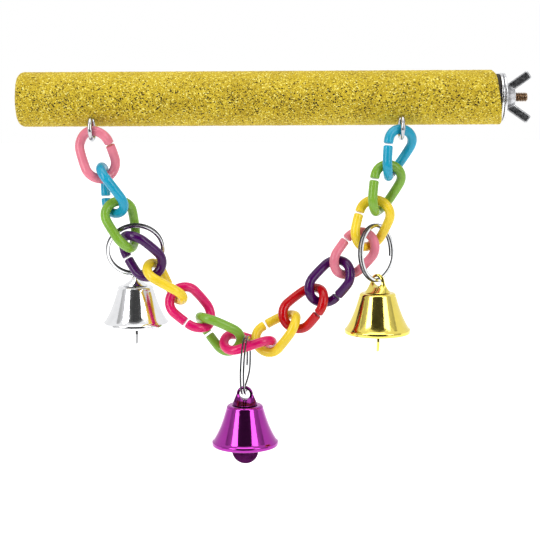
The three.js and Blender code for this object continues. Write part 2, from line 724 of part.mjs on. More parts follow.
const ringGeometry = splitRing();
console.log(`least gap between the turns of a split ring: ${ringTurnGap().toFixed(2)} mm`);
BELLS.forEach((bell) => {
  const hookTurn = THREE.MathUtils.degToRad(HANGS[bell.name].hook);
  const { middle, turn, lean, down } = seatRing(bell, links);
  const ring = node(`${bell.name}_split_ring`, ringGeometry, 0xc8ccd0, 0.2, 1);
  ring.position.copy(middle);
  ring.rotation.set(lean, 0, turn, "ZYX");
  group.add(ring);

  const hanging = new THREE.Group();
  hanging.position.copy(ring.position).addScaledVector(down, RING_RADIUS);
  hanging.rotation.z = turn;
  hanging.add(node(`${bell.name}_bell_shell`, bellShell(), bell.finish, 0.12, 1));
  hanging.add(node(`${bell.name}_bell_crown`, bellCrown(hookTurn), bell.finish, 0.2, 1));
  const tongue = node(`${bell.name}_clapper`, clapper(), bell.finish, 0.3, 1);
  tongue.position.z = CLAPPER_PIVOT_Z;
  tongue.rotation.z = hookTurn;
  hanging.add(tongue);
  group.add(hanging);
});

export default group;
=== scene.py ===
# A bolt-on cage perch with a swag of twisted plastic links and three bells, in a white studio.
# Everything is in metres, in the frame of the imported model: the bar lies along X and Z is up.
import json
import math

import bpy
from mathutils import Matrix, Vector, noise


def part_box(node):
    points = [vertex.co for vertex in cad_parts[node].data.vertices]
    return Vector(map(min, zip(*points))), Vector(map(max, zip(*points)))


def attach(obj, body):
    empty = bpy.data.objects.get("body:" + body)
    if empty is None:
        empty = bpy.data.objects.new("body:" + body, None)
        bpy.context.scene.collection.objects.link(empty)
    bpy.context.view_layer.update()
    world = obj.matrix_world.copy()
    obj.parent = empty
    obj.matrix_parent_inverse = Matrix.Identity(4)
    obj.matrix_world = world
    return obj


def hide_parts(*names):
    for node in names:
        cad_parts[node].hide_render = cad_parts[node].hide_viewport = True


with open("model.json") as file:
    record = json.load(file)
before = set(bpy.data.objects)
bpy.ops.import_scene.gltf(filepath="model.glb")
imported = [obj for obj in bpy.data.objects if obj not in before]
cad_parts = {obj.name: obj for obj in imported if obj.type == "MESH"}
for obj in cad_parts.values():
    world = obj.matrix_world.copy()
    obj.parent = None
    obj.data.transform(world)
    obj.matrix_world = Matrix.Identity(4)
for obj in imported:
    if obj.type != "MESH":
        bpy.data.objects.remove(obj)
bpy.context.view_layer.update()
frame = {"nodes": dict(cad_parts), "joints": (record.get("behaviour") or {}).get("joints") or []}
joints = {joint["name"]: joint for joint in frame["joints"]}

MM = 0.001
X = Vector((1, 0, 0))
Y = Vector((0, 1, 0))
Z = Vector((0, 0, 1))
ALONG_X = Matrix(((0, 0, 1), (1, 0, 0), (0, 1, 0)))

# Camera: what it looks at, how far away it is, how much it sees across there, and its tilt
TARGET = Vector((-96.7, 0, -72.3)) * MM
DISTANCE = 600 * MM
ACROSS = 229 * MM
ELEVATION = math.radians(8)
CAMERA_ROLL = math.radians(-0.3)
SENSOR = 36

# Studio: the floor, and the dark front and the side cards that only show as bands in the metal
FLOOR_Z = -0.42
FLOOR_REACH = 8
FLOOR_CORNERS = ((-1, -1), (1, -1), (1, 1), (-1, 1))
FLOOR_GLOW = 0.5
FRONT_Y = -0.95
FRONT_TOP = 1.1
LEFT_X = -1.3
RIGHT_X = 1.1
SIDE_END_Y = -0.1
SIDE_TOP = 0.9

# Bar
COAT_THICKNESS = 1.2 * MM
COAT_SWELL = 0.1 * MM
COAT_STEP = 0.55 * MM
COAT_SIDES = 128
FREE_END_ROUND = 2.9 * MM
FREE_END_RINGS = 15
FREE_END_STEPS = 9
CLAMP_END_ROUND = 0.5 * MM
CLAMP_END_STEPS = 4
POLE_RADIUS = 0.1 * MM
# How far from the clamp end the wood is painted dark, as painted shade in the gap between the coat and the
# inner washer
WASHER_GAP_SHADE = 8 * MM

# Grit: the grains of the mesh, the smaller spots of the material, the wide swells of the bed,
# how far over and under the bar's middle the painted shade of the dark grains thins out,
# and how far the free end's face is drawn in to leave room for its grains
GRAIN_SIZE = 0.75 * MM
GRAIN_SPOT = 0.43 * MM
GRAIN_RELIEF = 0.22 * MM
GRAIN_STEEPNESS = 1.5
GRAIN_SHARE = 0.75
SWELL_SIZE = 6 * MM
GRAIN_SHADE_REACH = 11 * MM
FREE_END_INSET = 0.6 * GRAIN_RELIEF

# The clamp end of the coat is cut askew: how far it is drawn back at the top and laps over at the bottom,
# how far along the bar that is felt, and between which radii each of the two sets in
END_SLANT = 2.8 * MM
END_LAP = 1 * MM
END_REACH = 9 * MM
SLANT_RADII = (8.8 * MM, 11.1 * MM)
LAP_RADII = (10.2 * MM, 10.5 * MM)

# Bolt: a machine thread, and a wood thread with a point that stops short of the inner washer
BOLT_RADIUS = 2 * MM
BOLT_PITCH = 0.7 * MM
BOLT_THREAD = 0.42 * MM
BOLT_CHAMFER = 0.5 * MM
WOOD_PITCH = 1.8 * MM
WOOD_THREAD = 0.6 * MM
WOOD_POINT = 5 * MM
WOOD_POINT_SHARE = 0.1
WOOD_STOP = 2 * MM
THREAD_RUN_OUT = 0.3 * MM
THREAD_STEEPNESS = 1.3
THREAD_STEPS = 8
THREAD_SIDES = 40
THREAD_LEAST_RADIUS = 0.2 * MM

# Washers and wing nut. HUB_FADE is how far past its base the bright look of the nut's hub fades out.
WASHER_HOLE = 2.3 * MM
WASHER_EDGE = 0.22 * MM
WASHER_EDGE_STEPS = 3
WASHER_SIDES = 96
NUT_BASE_RADIUS = 4.7 * MM
NUT_TOP_RADIUS = 3.2 * MM
NUT_HEIGHT = 4.2 * MM
NUT_BORE = 2.3 * MM
NUT_FOOT = 0.5 * MM
NUT_CHAMFER = 0.3 * MM
HUB_FADE = 0.3 * MM
NUT_SIDES = 64
NUT_VOXEL = 0.16 * MM
NUT_SMOOTHING_STEPS = 5
WING_LENGTH = 9.4 * MM
WING_WIDTH = 3.6 * MM
WING_CORNER = 0.5 * MM
WING_EDGE = 0.4 * MM
WING_THICKNESS = 1.8 * MM
WING_ANGLE = math.radians(35)
WING_ROOT = 4.1 * MM
WING_SEAT = 0.5 * MM
WING_POINTS = 24

# Levels through a wing's thickness, from -1 to 1, and how far its outline is drawn in there
WING_LEVELS = ((-1, WING_EDGE), (-0.6, 0), (0.6, 0), (1, WING_EDGE))

# Screw eyes. EYE_WIRE, like LINK_WIRE below, is the wire of the solids, which gives the loops and bends their
# places. EYE_ROUND and LINK_ROUND are drawn, a little slimmer, to keep clear where the faceted solids do.
EYE_WIRE = 1.9 * MM
EYE_ROUND = 1.84 * MM
EYE_LOOP_RADIUS = 4.35 * MM
EYE_STAND_OFF = 0.35 * MM
EYE_SHANK_DEPTH = 9 * MM
EYE_NECK_PULL = 1.3 * MM
EYE_LEAN = math.radians(45)
EYE_TURN = math.radians(4)
EYE_LOOP_START = math.radians(45)
EYE_LOOP_END = math.radians(318)
EYE_TIP_SCALES = [0.92, 0.6]
EYE_SIDES = 24
SHANK_STEPS = 10
NECK_STEPS = 12
LOOP_STEPS = 72

# Links
LINK_LENGTH = 24.3 * MM
LINK_WIDTH = 16.8 * MM
LINK_WIRE = 4.1 * MM
LINK_ROUND = 3.92 * MM
LINK_TWIST = math.radians(30)
LINK_SLIT = 0.9 * MM
SLIT_FROM_MIDDLE = 2.4 * MM
LINK_EDGE = 0.45 * MM
LINK_EDGE_SHARES = (0, 0.08, 0.3, 0.62)
LINK_STEPS = 150
LINK_SIDES = 36
SEAM_HEIGHT = 0.03 * MM
END_RADIUS = (LINK_WIDTH - LINK_WIRE) / 2
STRAIGHT = LINK_LENGTH - LINK_WIDTH
HALF_LENGTH = (LINK_LENGTH - LINK_WIRE) / 2
ROUND = 2 * STRAIGHT + 2 * math.pi * END_RADIUS
BOTTOM_LINK = 8

# Split rings, of a flat wire that is slimmer than the solids' for the same reason
RING_RADIUS = 11.42 * MM
RING_WIDE = 1.56 * MM
RING_THICK = 0.7 * MM
RING_STEP = 1.25 * MM
RING_JOGGLE = math.radians(32)
RING_START = math.radians(-45)
RING_TIP_SCALES = [0.7, 0.92]
RING_STEPS = 320
RING_POINTS = 20

# Bells, from the wire of the ring that carries them
HOLE_Z = -0.75 * MM
CROWN_BASE_Z = -4.95 * MM
SHELL_TOP_Z = -5.25 * MM
RIM_Z = -22.25 * MM
HOOK_Z = -9.15 * MM
SHOULDER_RADIUS = 7.65 * MM
RIM_RADIUS = 13.75 * MM
BELL_WALL = 0.8 * MM
BELL_CREST = 1.3 * MM
BELL_CREST_STEPS = 10
BELL_STRAIGHT_SHARE = 0.72
BELL_FLARE_STEPS = 36
BELL_SIDES = 128
STEM_GAP = 0.3 * MM

# The bell's lip: where it starts over the rim and how far inside of it, then points as (in from the rim's
# radius, over the rim): down the lip's outside, and round under its edge
BELL_LIP = 2.2 * MM
BELL_LIP_STEP = 0.65 * MM
LIP_OUTSIDE = ((0.24 * MM, 1.85 * MM), (0.05 * MM, 1.65 * MM), (0, 1.4 * MM), (0, 0.3 * MM))
LIP_UNDERSIDE = ((0.12 * MM, 0.1 * MM), (0.3 * MM, 0), (BELL_WALL - 0.2 * MM, 0))

# Bell crowns
CROWN_FOOT = 5.25 * MM
CROWN_STEPS = 20
CROWN_SIDES = 64
CROWN_EASE = 0.15 * MM
EYELET_HOLE = 2.2 * MM
EYELET_RIM = 1.2 * MM
EYELET_THICKNESS = 1.6 * MM
EYELET_STEPS = 12
EYELET_SIDES = 48
STEM_RADIUS = 1.2 * MM
STEM_IN_HOOK = 0.4 * MM
STEM_IN_CROWN = 1 * MM
STEM_SIDES = 24
HOOK_RADIUS = 2.15 * MM
HOOK_WIRE = 1.3 * MM
HOOK_STEPS = 48
HOOK_SIDES = 16

# Clappers, from the wire of the hook that carries them
CLAPPER_FOOT = 5.5 * MM
CLAPPER_NECK = 2.2 * MM
CLAPPER_HOLE = 1.4 * MM
CLAPPER_THICKNESS = 1 * MM
CLAPPER_EDGE = 0.18 * MM
CLAPPER_HOLE_Z = -0.35 * MM
CLAPPER_FOOT_Z = -13.45 * MM
NECK_ARC_STEPS = 20
FOOT_ARC_STEPS = 36
HOLE_ARC_STEPS = 32

# Link plastics
PALE_PINK = ("pale_pink_plastic", (0.64, 0.172, 0.235))
BLUE = ("blue_plastic", (0.009, 0.30, 0.465))
GREEN = ("green_plastic", (0.18, 0.36, 0.034))
PURPLE = ("purple_plastic", (0.046, 0.001, 0.075))
YELLOW = ("yellow_plastic", (0.76, 0.55, 0.026))
HOT_PINK = ("hot_pink_plastic", (0.63, 0.006, 0.12))
RED = ("red_plastic", (0.44, 0.001, 0.004))

# The links from left to right: plastic, roll about the link's own length in degrees,
# and where its slit is: on the upper (1) or lower (-1) bar, towards the right (1) or left (-1) end
LINKS = [
    (PALE_PINK, -2, 1, -1),
    (BLUE, 66, -1, 1),
    (GREEN, -46, 1, 1),
    (PURPLE, 24, -1, -1),
    (YELLOW, 89, -1, 1),
    (HOT_PINK, -26, -1, 1),
    (GREEN, 43, -1, -1),
    (HOT_PINK, -85, 1, 1),
    (YELLOW, -47, 1, -1),
    (RED, -28, -1, 1),
    (PURPLE, -10, -1, -1),
    (PALE_PINK, 2, 1, 1),
    (YELLOW, 13, 1, 1),
    (GREEN, 40, 1, 1),
    (BLUE, 50, 1, 1),
]

# Bell metals: slot, the shell's colour, and the share of it that the crown and the clapper keep; a share
# under 1 is painted shade and painted dark reflection
BELLS = {
    "left": ("silver_bell", (0.84, 0.845, 0.86), 1, 0.4),
    "middle": ("magenta_bell", (0.39, 0.04, 0.355), 0.4, 0.35),
    "right": ("gold_bell", (0.88, 0.72, 0.15), 0.9, 0.9),
}


# Mesh building

def share_of(value, start, end):
    """How far a value is on its way from start to end, from 0 to 1."""
    return min(1, max(0, (value - start) / (end - start)))


def circle(radius, sides):
    steps = [2 * math.pi * k / sides for k in range(sides)]
    return [(radius * math.cos(angle), radius * math.sin(angle)) for angle in steps]


def arc(centre, radius, from_angle, to_angle, steps):
    """Pairs on an arc round a centre, with both of its ends."""
    pairs = []
    for i in range(steps + 1):
        angle = from_angle + (to_angle - from_angle) * i / steps
        pairs.append((centre[0] + radius * math.cos(angle), centre[1] + radius * math.sin(angle)))
    return pairs


def lathe(pairs, sides, turn):
    """Rings of a skin of (radius, height) pairs revolved round Z, then turned."""
    return [[turn @ Vector((a, b, height)) for a, b in circle(radius, sides)] for radius, height in pairs]


def skin(rings, closed=False):
    """Points and faces over rings of equal count: capped at both ends, or closed into a loop."""
    count = len(rings[0])
    points = [point for ring in rings for point in ring]
    faces = []
    total = len(rings)
    for i in range(total if closed else total - 1):
        here = i * count
        there = ((i + 1) % total) * count
        for k in range(count):
            after = (k + 1) % count
            faces.append((here + k, here + after, there + after, there + k))
    if not closed:
        faces.append(tuple(reversed(range(count))))
        faces.append(tuple(range((total - 1) * count, total * count)))
    return points, faces


def merge(*shapes):
    """One shape of several (points, faces) shapes."""
    points = []
    faces = []
    for some_points, some_faces in shapes:
        first = len(points)
        points.extend(some_points)
        faces.extend(tuple(first + index for index in face) for face in some_faces)
    return points, faces


def frames_along(points, outward):
    """(centre, side, up) at each point of an open path, with side as near outward as the path allows."""
    found = []
    for i, point in enumerate(points):
        ahead = points[min(i + 1, len(points) - 1)]
        behind = points[max(i - 1, 0)]
        tangent = (ahead - behind).normalized()
        side = (outward[i] - tangent * outward[i].dot(tangent)).normalized()
        found.append((point, side, side.cross(tangent)))
    return found


def sweep(path, outward, section, scales):
    """Points and faces of a section of (outward, up) pairs along a path, scaled at each point."""
    rings = []
    for (centre, side, up), scale in zip(frames_along(path, outward), scales):
        rings.append([centre + (side * a + up * b) * scale for a, b in section])
    return skin(rings)


def place_mesh(name, mesh, sharp):
    """An object of a mesh, shaded smooth but for edges sharper than an angle in degrees."""
    mesh.shade_smooth()
    mesh.set_sharp_from_angle(angle=math.radians(sharp))
    made = bpy.data.objects.new(name, mesh)
    bpy.context.scene.collection.objects.link(made)
    return made


def new_object(name, shape, sharp=50):
    points, faces = shape
    mesh = bpy.data.meshes.new(name)
    mesh.from_pydata([tuple(point) for point in points], [], faces)
    mesh.validate()
    return place_mesh(name, mesh, sharp)


def evaluated_mesh(thing):
    """A mesh of an object with its modifiers applied."""
    return bpy.data.meshes.new_from_object(thing.evaluated_get(bpy.context.evaluated_depsgraph_get()))


def dress(piece, finish, body, node):
    """Gives a piece its material, the body that it rides on and the node that it stands for."""
    piece.data.materials.clear()
    piece.data.materials.append(finish)
    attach(piece, body)
    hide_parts(node)


# Materials

def shade(colour, factor):
    return tuple(min(1, channel * factor) for channel in colour)


def grey(level):
    return (level, level, level)


class Finish:
    """A node material round one Principled shader, with object coordinates at hand."""

    def __init__(self, name, **constants):
        self.material = bpy.data.materials.new(name)
        self.material.use_nodes = True
        self.tree = self.material.node_tree
        self.shader = self.tree.nodes["Principled BSDF"]
        self.place = self.tree.nodes.new("ShaderNodeTexCoord").outputs["Object"]
        for socket, value in constants.items():
            self.shader.inputs[socket.replace("_", " ")].default_value = value

    def node(self, kind, links=None, **values):
        """A node with inputs or properties set to values, and inputs linked to outputs."""
        made = self.tree.nodes.new(kind)
        for name, value in values.items():
            if name in made.inputs:
                made.inputs[name].default_value = value
            else:
                setattr(made, name, value)
        for name, output in (links or {}).items():
            self.tree.links.new(output, made.inputs[name])
        return made

    def feed(self, socket, output):
        self.tree.links.new(output, self.shader.inputs[socket])

    def along(self, axis):
        """The place along X, Y or Z."""
        return self.node("ShaderNodeSeparateXYZ", {"Vector": self.place}).outputs[axis]

    def stretched(self, scale):
        """The place with each axis scaled: less than 1 draws a pattern out along it."""
        return self.node("ShaderNodeMapping", {"Vector": self.place}, Scale=scale).outputs["Vector"]

    def noise(self, size, detail=3, place=None):
        """Noise with features of about the given size."""
        made = self.node("ShaderNodeTexNoise", {"Vector": place or self.place}, Scale=1 / size, Detail=detail)
        return made.outputs["Fac"]

    def ramp(self, output, *stops):
        """Colours at places from 0 to 1."""
        made = self.node("ShaderNodeValToRGB", {"Fac": output})
        elements = made.color_ramp.elements
        while len(elements) < len(stops):
            elements.new(1)
        for element, (where, colour) in zip(elements, stops):
            element.position = where
            element.color = (*colour, 1)
        return made.outputs["Color"]

    def between(self, output, low, high, start=0.3, end=0.7):
        """A value from low to high as another goes from start to end, by default the main span of a noise."""
        made = self.node("ShaderNodeMapRange", {"Value": output})
        made.inputs["From Min"].default_value = start
        made.inputs["From Max"].default_value = end
        made.inputs["To Min"].default_value = low
        made.inputs["To Max"].default_value = high
        return made.outputs["Result"]

    def mix(self, first, second, share=None, mode="MIX"):
        """Two colours mixed by a share of the second, or with the whole of it where no share is given."""
        made = self.node("ShaderNodeMix", data_type="RGBA", blend_type=mode)
        factor, first_colour, second_colour = made.inputs[0], made.inputs[6], made.inputs[7]
        factor.default_value = 1
        if share:
            self.tree.links.new(share, factor)
        self.tree.links.new(first, first_colour)
        self.tree.links.new(second, second_colour)
        return made.outputs[2]

    def bump(self, height, depth, strength, under=None):
        """A normal bumped by a height, on top of another bump if there is one under it."""
        made = self.node("ShaderNodeBump", {"Height": height}, Strength=strength, Distance=depth)
        if under:
            self.tree.links.new(under, made.inputs["Normal"])
        return made.outputs["Normal"]


def sand_grit():
    """Yellow grains with dark ones among them as painted shade between the grains, fewer of those on the top
    and the underside of the bar, and pale ones that are partly real pale grains and partly painted glints.
    """
    finish = Finish("sand_grit", Specular_IOR_Level=0.25)
    grains = finish.node("ShaderNodeTexVoronoi", {"Vector": finish.place}, Scale=1 / GRAIN_SPOT)
    tone = finish.node("ShaderNodeSeparateColor", {"Color": grains.outputs["Color"]}).outputs["Red"]
    # The dark grains are painted shade between the grains; this thins that painted shade out over and under
    # the bar's middle.
    up_the_bar = finish.between(finish.along("Z"), 0, 1, start=-GRAIN_SHADE_REACH, end=GRAIN_SHADE_REACH)
    thinner_grain_shade = finish.ramp(up_the_bar, (0, grey(0.18)), (0.42, grey(0)), (1, grey(0.19)))
    colours = finish.ramp(
        finish.node("ShaderNodeMapRange", {"Value": tone, "To Min": thinner_grain_shade}).outputs["Result"],
        # The darkest stops are painted shade between the grains; the palest are partly real pale grains and
        # partly painted glints.
        (0, (0.006, 0.004, 0.001)),
        (0.16, (0.035, 0.022, 0.003)),
        (0.21, (0.36, 0.25, 0.012)),
        (0.5, (0.51, 0.365, 0.016)),
        (0.84, (0.60, 0.45, 0.022)),
        (0.94, (0.80, 0.66, 0.10)),
        (1, (0.90, 0.82, 0.26)),
    )
    patches = finish.ramp(finish.noise(14 * MM), (0.35, (0.86, 0.84, 0.80)), (0.65, grey(1)))
    finish.feed("Base Color", finish.mix(colours, patches, mode="MULTIPLY"))
    finish.feed("Roughness", finish.between(finish.noise(0.5 * MM), low=0.6, high=0.95))
    coarse = finish.bump(grains.outputs["Distance"], depth=0.25 * MM, strength=0.8)
    finish.feed("Normal", finish.bump(finish.noise(0.25 * MM), depth=0.1 * MM, strength=0.6, under=coarse))
    return finish.material


def wood():
    """Turned wood with its grain along the bar, painted dark at the clamp end as shade in the gap by the
    inner washer.
    """
    finish = Finish("wood")
    lengthways = finish.stretched((0.08, 1, 1))
    rings = finish.node("ShaderNodeTexWave", {"Vector": lengthways}, Scale=260, Distortion=4, Detail=3)
    grain = finish.ramp(rings.outputs["Fac"], (0.1, (0.45, 0.27, 0.12)), (0.8, (0.66, 0.45, 0.24)))
    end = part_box("dowel_core")[1].x
    # Painted shade: the wood darkens towards the clamp end, where the gap by the inner washer lies in shadow.
    near_end = finish.between(finish.along("X"), 0, 1, start=end - WASHER_GAP_SHADE, end=end - WASHER_GAP_SHADE / 2)
    gap_shade = finish.ramp(near_end, (0, grey(1)), (1, grey(0.02)))
    finish.feed("Base Color", finish.mix(grain, gap_shade, mode="MULTIPLY"))
    finish.feed("Roughness", finish.between(finish.noise(1 * MM), low=0.6, high=0.85))
    finish.feed("Normal", finish.bump(rings.outputs["Fac"], depth=0.1 * MM, strength=0.3))
    return finish.material


def plastic(name, colour):
    """Glossy moulded plastic, a little cloudy and uneven."""
    finish = Finish(name, IOR=1.4)
    clouds = finish.noise(7 * MM, detail=4)
    finish.feed("Base Color", finish.ramp(clouds, (0.3, shade(colour, 0.88)), (0.7, shade(colour, 1.06))))
    finish.feed("Roughness", finish.between(finish.noise(1.6 * MM, detail=5), low=0.12, high=0.26))
    finish.feed("Normal", finish.bump(finish.noise(0.9 * MM, detail=2), depth=0.05 * MM, strength=0.12))
    return finish.material


def plated_wire(name, colour):
    """Nickel plate with a patchy polish and fine scratches along X."""
    finish = Finish(name, Metallic=1)
    stains = finish.noise(3 * MM, detail=5)
    finish.feed("Base Color", finish.ramp(stains, (0.3, shade(colour, 0.82)), (0.65, colour)))
    finish.feed("Roughness", finish.between(finish.noise(1.2 * MM, detail=6), low=0.1, high=0.25))
    scratches = finish.noise(0.6 * MM, detail=4, place=finish.stretched((0.15, 1, 1)))
    finish.feed("Normal", finish.bump(scratches, depth=0.05 * MM, strength=0.06))
    return finish.material


def edged_metal(name, hollow_shade, flat, edge, smooth, rough, hub=None):
    """Metal that is dark in hollows as painted shade, plain on flats and bright on edges as a painted
    highlight, and bright on a nut's turned hub.
    """
    finish = Finish(name, Metallic=1)
    pointed = finish.node("ShaderNodeNewGeometry").outputs["Pointiness"]
    # Pointiness paints shade into the hollows and a highlight onto the edges.
    tones_with_painted_light = finish.ramp(pointed, (0.46, hollow_shade), (0.49, flat), (0.51, flat), (0.54, edge))
    if hub:
        from_axis = finish.node("ShaderNodeVectorMath", {0: finish.stretched((0, 1, 1))}, operation="LENGTH")
        hub_edge = NUT_BASE_RADIUS + HUB_FADE
        past_hub = finish.between(from_axis.outputs["Value"], 0, 1, start=NUT_TOP_RADIUS, end=hub_edge)
        turned = finish.ramp(pointed, (0.46, hollow_shade), (0.49, hub), (0.54, edge))
        tones_with_painted_light = finish.mix(turned, tones_with_painted_light, share=past_hub)
    stains = finish.ramp(finish.noise(1.2 * MM, detail=5), (0.3, grey(0.55)), (0.65, grey(1)))
    finish.feed("Base Color", finish.mix(tones_with_painted_light, stains, mode="MULTIPLY"))
    finish.feed("Roughness", finish.between(finish.noise(0.8 * MM, detail=6), smooth, rough))
    finish.feed("Normal", finish.bump(finish.noise(0.35 * MM, detail=4), depth=0.05 * MM, strength=0.4))
    return finish.material


def polished_ring(name):
    """Spring steel that is bright on the flats of the wire, with painted shade along its edges."""
    finish = Finish(name, Metallic=1)
    from_edge = finish.node("ShaderNodeAttribute", attribute_name="from_edge").outputs["Fac"]
    # The dark colour is painted shade along the wire's rounded edges.
    dark = (0.05, 0.05, 0.055)
    half_bright = (0.34, 0.345, 0.35)
    bright = (0.86, 0.87, 0.88)
    edges = finish.ramp(from_edge, (0.14, dark), (0.4, half_bright), (0.68, bright))
    stains = finish.ramp(finish.noise(2 * MM, detail=5), (0.3, grey(0.8)), (0.6, grey(1)))
    finish.feed("Base Color", finish.mix(edges, stains, mode="MULTIPLY"))
    finish.feed("Roughness", finish.between(finish.noise(1.2 * MM, detail=6), low=0.08, high=0.2))
    finish.feed("Normal", finish.bump(finish.noise(0.6 * MM, detail=4), depth=0.05 * MM, strength=0.06))
    return finish.material


def bell_metal(name, colour):
    """Mirror plate with faint turning lines round the bell and dulled spots."""
    finish = Finish(name, Metallic=1)
    clouds = finish.noise(4 * MM, detail=4)
    finish.feed("Base Color", finish.ramp(clouds, (0.3, shade(colour, 0.92)), (0.7, colour)))
    finish.feed("Roughness", finish.between(finish.noise(1.5 * MM, detail=6), low=0.07, high=0.15))
    lines = finish.noise(0.35 * MM, detail=2, place=finish.stretched((0.02, 0.02, 1)))
    finish.feed("Normal", finish.bump(lines, depth=0.02 * MM, strength=0.05))
    return finish.material


# The bar

def grit_height(point):
    """Height of the grit over its bed: rounded grains on a slightly uneven skin."""
    nearest = noise.voronoi(point / GRAIN_SIZE)[0][0]
    grain = max(0, 1 - GRAIN_STEEPNESS * nearest)
    swell = noise.noise(point / SWELL_SIZE)
    return GRAIN_RELIEF * (GRAIN_SHARE * grain + (1 - GRAIN_SHARE) * swell)


def slant_end(rings, end):
    """Cuts the clamp end of the coat askew: back at the top, lapping over the washer's rim at the bottom."""
    for ring in rings:
        for point in ring:
            radius = Vector((point.y, point.z)).length
            height = (point.z / radius + 1) / 2
            near = share_of(point.x, end - END_REACH, end)
            back = END_SLANT * height * share_of(radius, *SLANT_RADII)
            lap = END_LAP * (1 - height) * share_of(radius, *LAP_RADII)
            point.x += (lap - back) * near


def outside_normals(rings):
    """Outward normals of a revolved skin whose rings run from its left pole to its right end."""
    found = []
    for i, ring in enumerate(rings):
        ahead = rings[min(i + 1, len(rings) - 1)]
        behind = rings[max(i - 1, 0)]
        row = []
        for k, point in enumerate(ring):
            radial = Vector((0, point.y, point.z)).normalized()
            tangent = (ahead[k] - behind[k]).normalized()
            row.append((radial * tangent.x - X * tangent.dot(radial)).normalized())
        found.append(row)
    return found


def sand_coat(finish):
    """A skin of grit over the bar and its free end, open at the clamp end."""
    low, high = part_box("sand_coat")
    bar_radius = (high.z - low.z) / 2
    radius = bar_radius + COAT_SWELL
    left = low.x + FREE_END_INSET
    right = high.x
    flat = radius - FREE_END_ROUND
    start = left + FREE_END_ROUND
    stop = right - CLAMP_END_ROUND
    count = round((stop - start) / COAT_STEP)
    face = [(flat * i / FREE_END_RINGS, left) for i in range(1, FREE_END_RINGS)]
    corner = arc((flat, start), FREE_END_ROUND, -math.pi / 2, 0, FREE_END_STEPS)
    straight = [(radius, start + (stop - start) * i / count) for i in range(1, count)]
    edge = arc((radius - CLAMP_END_ROUND, stop), CLAMP_END_ROUND, 0, math.pi / 2, CLAMP_END_STEPS)
    outside = lathe(face + corner + straight + edge, COAT_SIDES, ALONG_X)
    bore = bar_radius - COAT_THICKNESS
    bottom = left + COAT_THICKNESS
    inside = lathe([(bore, right), (bore, bottom), (POLE_RADIUS, bottom)], COAT_SIDES, ALONG_X)
    slant_end(outside + inside, right)
    for ring, normals in zip(outside, outside_normals(outside)):
        for k, normal in enumerate(normals):
            ring[k] = ring[k] + normal * grit_height(ring[k])
    coat = new_object("sand_coat_grit", skin(outside + inside), sharp=60)
    dress(coat, finish, "perch", "sand_coat")


# The clamp end

def threaded(start, end, pitch, depth, radius_at):
    """Rings of a thread along X whose crest radius is radius_at(x)."""
    rings = []
    count = max(2, round((end - start) / pitch * THREAD_STEPS))
    for i in range(count + 1):
        x = start + (end - start) * i / count
        ring = []
        for k in range(THREAD_SIDES):
            share = k / THREAD_SIDES
            phase = (x / pitch + share) % 1
            groove = min(1, THREAD_STEEPNESS * abs(2 * phase - 1))
            radius = max(radius_at(x) - depth * groove, THREAD_LEAST_RADIUS)
            angle = 2 * math.pi * share
            ring.append(Vector((x, radius * math.cos(angle), radius * math.sin(angle))))
        rings.append(ring)
    return rings


def hanger_bolt(finish):
    """A wood thread with a point in the bar and a machine thread out of its end."""
    low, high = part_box("hanger_bolt")
    wood_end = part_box("inner_washer")[0].x - WOOD_STOP

    def wood_radius(x):
        from_point = (x - low.x) / WOOD_POINT
        return BOLT_RADIUS * min(1, WOOD_POINT_SHARE + (1 - WOOD_POINT_SHARE) * from_point)

    def machine_radius(x):
        return BOLT_RADIUS - max(0, x - (high.x - BOLT_CHAMFER))

    wood_thread = threaded(low.x, wood_end, WOOD_PITCH, WOOD_THREAD, wood_radius)
    machine_thread = threaded(wood_end + THREAD_RUN_OUT, high.x, BOLT_PITCH, BOLT_THREAD, machine_radius)
    bolt = new_object("hanger_bolt_threads", skin(wood_thread + machine_thread), sharp=30)
    dress(bolt, finish, "perch", "hanger_bolt")


def washer(node, body, finish):
    """A flat ring with rounded rims and an eased hole."""
    low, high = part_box(node)
    rim = (high.z - low.z) / 2 - WASHER_EDGE
    ease = WASHER_EDGE / 2
    pairs = [(WASHER_HOLE, low.x + ease), (WASHER_HOLE + ease, low.x)]
    pairs += arc((rim, low.x + WASHER_EDGE), WASHER_EDGE, -math.pi / 2, 0, WASHER_EDGE_STEPS)
    pairs += arc((rim, high.x - WASHER_EDGE), WASHER_EDGE, 0, math.pi / 2, WASHER_EDGE_STEPS)
    pairs += [(WASHER_HOLE + ease, high.x), (WASHER_HOLE, high.x - ease)]
    made = new_object(node + "_plate", skin(lathe(pairs, WASHER_SIDES, ALONG_X), closed=True), sharp=40)
    dress(made, finish, body, node)


def wing(nut_x, side):
    """A flat bar with squared ends and eased edges that slopes away from the hub."""
    along = Vector((math.cos(WING_ANGLE), 0, side * math.sin(WING_ANGLE)))
    across = Vector((-side * math.sin(WING_ANGLE), 0, math.cos(WING_ANGLE)))
    root = Vector((nut_x + WING_WIDTH / 2 + WING_SEAT, 0, side * WING_ROOT))
    rings = []
    for level, inset in WING_LEVELS:
        half = WING_WIDTH / 2 - inset - WING_CORNER
        lift = Y * level * WING_THICKNESS / 2
        ring = []
        for k in range(WING_POINTS):
            angle = 2 * math.pi * (k + 0.5) / WING_POINTS
            out = WING_LENGTH - inset - WING_CORNER if math.cos(angle) > 0 else 0
            run = out + WING_CORNER * math.cos(angle)
            wide = math.copysign(half, math.sin(angle)) + WING_CORNER * math.sin(angle)
            ring.append(root + along * run + across * wide + lift)
        rings.append(ring)
    return skin(rings)


